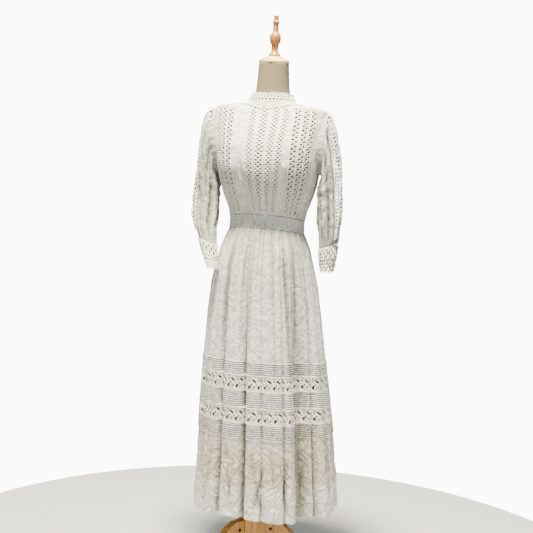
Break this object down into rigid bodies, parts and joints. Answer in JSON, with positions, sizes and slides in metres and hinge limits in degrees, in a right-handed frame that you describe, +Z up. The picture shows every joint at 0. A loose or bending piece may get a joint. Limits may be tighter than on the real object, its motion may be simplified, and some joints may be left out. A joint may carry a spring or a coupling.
{
  "type": "lace dress on dress form",
  "caption": "White cotton dress with lace insertions, three-quarter sleeves and a gathered skirt, on a limbless padded dress form with a turned finial and a wooden tripod.",
  "frame": {"origin": "on the floor, under the middle of the part's bounding box", "axes": "+Z up along the figure, -Y towards its front, +X towards its own left side"},
  "size_m": [0.5046, 0.4595, 1.7966],
  "materials": {
    "lawn": "fine plain-woven white cotton lawn, slightly yellowed, matte",
    "lace": "corded cotton bobbin lace, ivory white, matte",
    "linen": "coarse greige linen stretched over the padded form",
    "turned_wood": "turned wood under a golden gloss varnish",
    "board_wood": "planed board with straight grain under a satin varnish",
    "steel": "drawn steel tube, satin",
    "bolt_steel": "blackened steel bolt head"
  },
  "bodies": {
    "root": {"bodice_front": "lawn", "bodice_back_left": "lawn", "bodice_back_right": "lawn", "collar_left": "lace", "collar_right": "lace", "sleeve_left": "lawn", "sleeve_right": "lawn", "cuff_left_front": "lace", "cuff_left_back": "lace", "cuff_right_front": "lace", "cuff_right_back": "lace", "waistband": "lawn", "skirt_upper": "lawn", "skirt_lace_upper_front": "lace", "skirt_lace_upper_back": "lace", "skirt_middle": "lawn", "skirt_lace_lower_front": "lace", "skirt_lace_lower_back": "lace", "skirt_lower": "lawn", "form_torso": "linen", "neck_cap": "turned_wood", "finial": "turned_wood", "stand_pole": "steel", "stand_hub": "board_wood", "stand_leg_1": "board_wood", "stand_leg_2": "board_wood", "stand_leg_3": "board_wood", "stand_bolt_1": "bolt_steel", "stand_bolt_2": "bolt_steel", "stand_bolt_3": "bolt_steel"}
  },
  "joints": []
}
